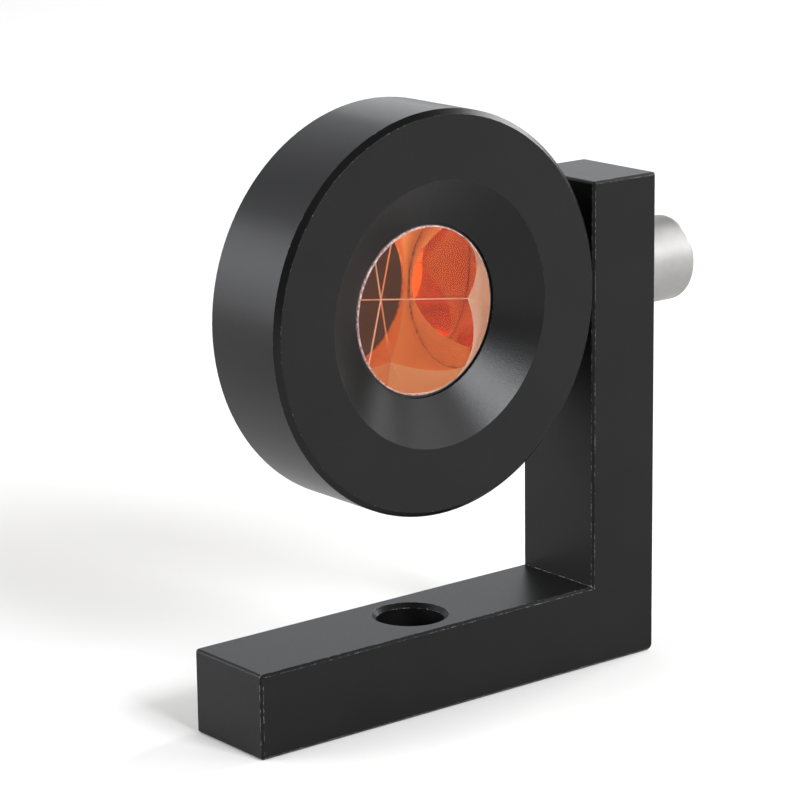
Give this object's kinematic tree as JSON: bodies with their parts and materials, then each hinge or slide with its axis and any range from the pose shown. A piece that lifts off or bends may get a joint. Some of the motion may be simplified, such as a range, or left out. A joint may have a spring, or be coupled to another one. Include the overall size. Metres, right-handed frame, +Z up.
{
  "type": "survey prism",
  "caption": "Corner-cube survey prism in a round turned housing that tilts in friction on an axle through the upright of an L-shaped bracket with a bolt hole in its base.",
  "frame": {"origin": "on the axis of the base bore, in the bracket's underside", "axes": "+X along the base towards the upright and along the tilt axis, +Z up, and the prism faces -Y at rest"},
  "size_m": [0.0873, 0.0262, 0.0913],
  "materials": {
    "anodised_bracket": "black anodised, fine blasted satin",
    "anodised_housing": "black anodised, fine blasted satin",
    "stainless": "fine turned satin",
    "blackened_steel": "black oxide",
    "spring_steel": "plain",
    "steel_washer": "ground",
    "washer_polymer": "natural PTFE",
    "bush_bronze": "sintered bronze",
    "optical_glass": "polished",
    "copper_mirror": "vacuum-coated copper",
    "cell_polymer": "black acetal",
    "black_rubber": "matte"
  },
  "bodies": {
    "bracket": {"l_bracket": "anodised_bracket", "inner_bush": "bush_bronze", "outer_bush": "bush_bronze", "disc_spring_inner": "spring_steel", "disc_spring_outer": "spring_steel", "thrust_washer": "steel_washer"},
    "prism_head": {"prism_housing": "anodised_housing", "tilt_axle": "stainless", "axle_lock_screw": "blackened_steel", "friction_washer": "washer_polymer", "corner_cube": "optical_glass", "mirror_coating": "copper_mirror", "prism_cell": "cell_polymer", "front_gasket": "black_rubber", "glass_seal": "black_rubber", "wave_spring": "spring_steel", "slip_ring": "steel_washer", "retaining_ring": "anodised_housing", "cover_seal": "black_rubber", "rear_cover": "anodised_housing"}
  },
  "joints": [
    {"name": "tilt", "type": "hinge", "parent": "bracket", "child": "prism_head", "pos_m": [0.03645, 0, 0.0611], "axis": [-1, 0, 0], "continuous": true}
  ]
}
